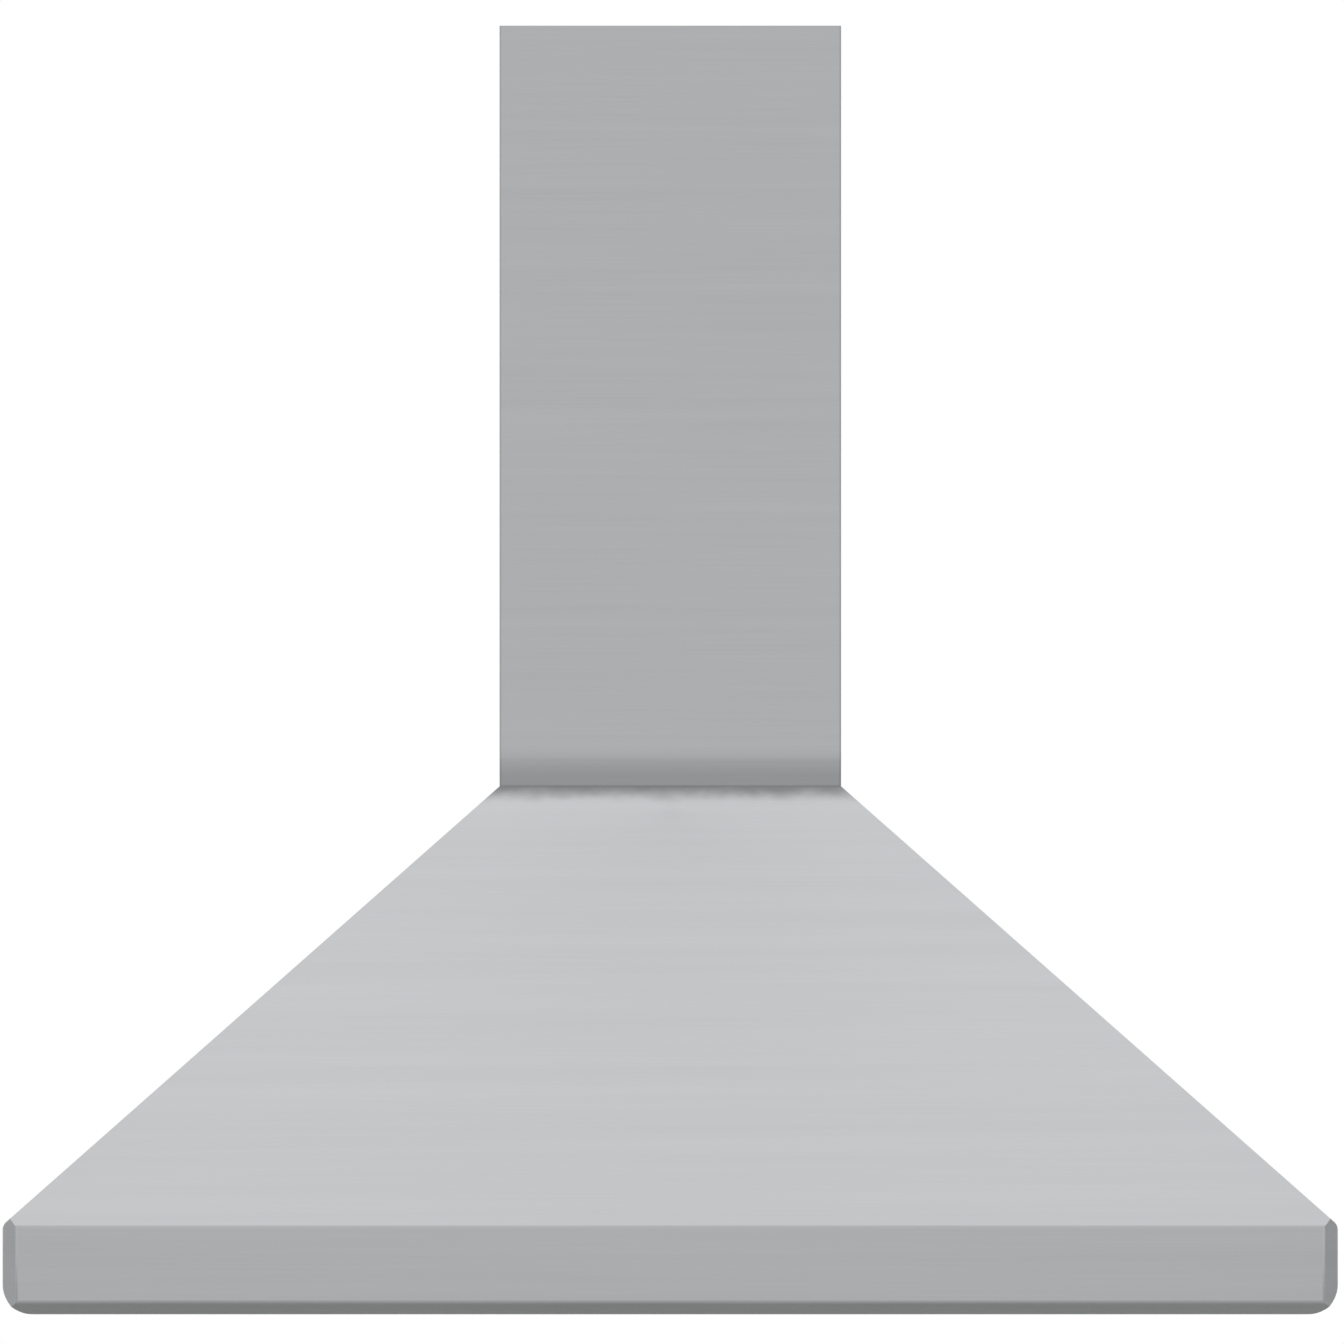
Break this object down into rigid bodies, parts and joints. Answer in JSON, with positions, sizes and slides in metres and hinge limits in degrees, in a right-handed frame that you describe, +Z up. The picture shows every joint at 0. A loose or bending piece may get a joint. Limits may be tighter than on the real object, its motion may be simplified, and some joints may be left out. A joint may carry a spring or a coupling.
{
  "type": "chimney range hood",
  "caption": "Wall-hung stainless range hood with a pyramid canopy, straight chimney cover, baffle filters, lamps, push buttons and an inside blower.",
  "frame": {"origin": "under the middle of the hood, level with the rim's underside, halfway between its front face and the wall", "axes": "+Z up, +Y towards the wall, +X to the right as the cook looks at the front"},
  "size_m": [1.216, 0.61, 1.205],
  "materials": {
    "brushed_stainless": "horizontal brushed grain",
    "galvanised_sheet": "dull zinc",
    "polished_steel": "polished",
    "frosted_glass": "frosted",
    "black_plastic": "moulded satin",
    "circuit_board": "solder mask",
    "dark_paint": "satin enamel",
    "aluminium_sheet": "mill finish",
    "black_rubber": "matt"
  },
  "bodies": {
    "root": {"canopy_front": "brushed_stainless", "canopy_left": "brushed_stainless", "canopy_right": "brushed_stainless", "rim_front": "brushed_stainless", "rim_left": "brushed_stainless", "rim_right": "brushed_stainless", "chimney_lower": "brushed_stainless", "liner_front": "brushed_stainless", "liner_left": "brushed_stainless", "liner_right": "brushed_stainless", "filter_divider_1": "brushed_stainless", "filter_divider_2": "brushed_stainless", "rear_rail": "brushed_stainless", "back_panel": "galvanised_sheet", "hanging_bar": "galvanised_sheet", "chimney_bracket": "galvanised_sheet", "top_plate": "galvanised_sheet", "scroll_wrap": "galvanised_sheet", "scroll_side_front": "galvanised_sheet", "scroll_side_back": "galvanised_sheet", "inlet_ring_front": "galvanised_sheet", "inlet_ring_back": "galvanised_sheet", "motor_bracket": "galvanised_sheet", "duct_collar": "galvanised_sheet", "junction_box": "galvanised_sheet", "junction_cover": "galvanised_sheet", "lead_clip": "galvanised_sheet", "flap_pin": "polished_steel", "lamp_trim_1": "polished_steel", "lamp_trim_2": "polished_steel", "lamp_trim_3": "polished_steel", "lamp_trim_4": "polished_steel", "lamp_lens_1": "frosted_glass", "lamp_lens_2": "frosted_glass", "lamp_lens_3": "frosted_glass", "lamp_lens_4": "frosted_glass", "control_bezel": "black_plastic", "cable_gland": "black_plastic", "control_board": "circuit_board", "motor_body": "dark_paint", "capacitor": "aluminium_sheet", "motor_lead": "black_rubber"},
    "impeller": {"impeller": "galvanised_sheet", "motor_shaft": "polished_steel"},
    "flap_left": {"flap_left": "aluminium_sheet"},
    "flap_right": {"flap_right": "aluminium_sheet"},
    "chimney_upper": {"chimney_upper": "brushed_stainless"},
    "grease_tray": {"grease_tray": "brushed_stainless"},
    "filter_left": {"filter_left": "brushed_stainless"},
    "filter_pull_left": {"filter_pull_left": "polished_steel"},
    "filter_middle": {"filter_middle": "brushed_stainless"},
    "filter_pull_middle": {"filter_pull_middle": "polished_steel"},
    "filter_right": {"filter_right": "brushed_stainless"},
    "filter_pull_right": {"filter_pull_right": "polished_steel"},
    "button_1": {"button_1": "polished_steel"},
    "button_2": {"button_2": "polished_steel"},
    "button_3": {"button_3": "polished_steel"},
    "button_4": {"button_4": "polished_steel"},
    "button_5": {"button_5": "polished_steel"}
  },
  "joints": [
    {"name": "impeller_spin", "type": "hinge", "parent": "root", "child": "impeller", "pos_m": [-0.09424, 0.16, 0.285], "axis": [0, 1, 0], "continuous": true},
    {"name": "flap_left_lift", "type": "hinge", "parent": "root", "child": "flap_left", "pos_m": [0, 0.16, 0.5048], "axis": [0, 1, 0], "range_deg": [0, 80]},
    {"name": "flap_right_lift", "type": "hinge", "parent": "root", "child": "flap_right", "pos_m": [0, 0.16, 0.5048], "axis": [0, -1, 0], "range_deg": [0, 80]},
    {"name": "chimney_upper_slide", "type": "slide", "parent": "root", "child": "chimney_upper", "axis": [0, 0, 1], "range_m": [0, 0.4]},
    {"name": "grease_tray_slide", "type": "slide", "parent": "root", "child": "grease_tray", "axis": [0, 0, -1], "range_m": [0, 0.07]},
    {"name": "filter_left_tilt", "type": "hinge", "parent": "root", "child": "filter_left", "pos_m": [-0.376, 0.215, 0.042], "axis": [1, 0, 0], "range_deg": [0, 65]},
    {"name": "filter_middle_tilt", "type": "hinge", "parent": "root", "child": "filter_middle", "pos_m": [0, 0.215, 0.042], "axis": [1, 0, 0], "range_deg": [0, 65]},
    {"name": "filter_right_tilt", "type": "hinge", "parent": "root", "child": "filter_right", "pos_m": [0.376, 0.215, 0.042], "axis": [1, 0, 0], "range_deg": [0, 65]},
    {"name": "filter_pull_left_swing", "type": "hinge", "parent": "filter_left", "child": "filter_pull_left", "pos_m": [-0.376, -0.10898, 0.08349], "axis": [1, 0, 0], "range_deg": [-75, 75]},
    {"name": "filter_pull_middle_swing", "type": "hinge", "parent": "filter_middle", "child": "filter_pull_middle", "pos_m": [0, -0.10898, 0.08349], "axis": [1, 0, 0], "range_deg": [-75, 75]},
    {"name": "filter_pull_right_swing", "type": "hinge", "parent": "filter_right", "child": "filter_pull_right", "pos_m": [0.376, -0.10898, 0.08349], "axis": [1, 0, 0], "range_deg": [-75, 75]},
    {"name": "button_1_press", "type": "slide", "parent": "root", "child": "button_1", "axis": [0, 0, 1], "range_m": [0, 0.0025], "stiffness_N_per_m": 250, "springref_m": -0.001},
    {"name": "button_2_press", "type": "slide", "parent": "root", "child": "button_2", "axis": [0, 0, 1], "range_m": [0, 0.0025], "stiffness_N_per_m": 250, "springref_m": -0.001},
    {"name": "button_3_press", "type": "slide", "parent": "root", "child": "button_3", "axis": [0, 0, 1], "range_m": [0, 0.0025], "stiffness_N_per_m": 250, "springref_m": -0.001},
    {"name": "button_4_press", "type": "slide", "parent": "root", "child": "button_4", "axis": [0, 0, 1], "range_m": [0, 0.0025], "stiffness_N_per_m": 250, "springref_m": -0.001},
    {"name": "button_5_press", "type": "slide", "parent": "root", "child": "button_5", "axis": [0, 0, 1], "range_m": [0, 0.0025], "stiffness_N_per_m": 250, "springref_m": -0.001}
  ]
}
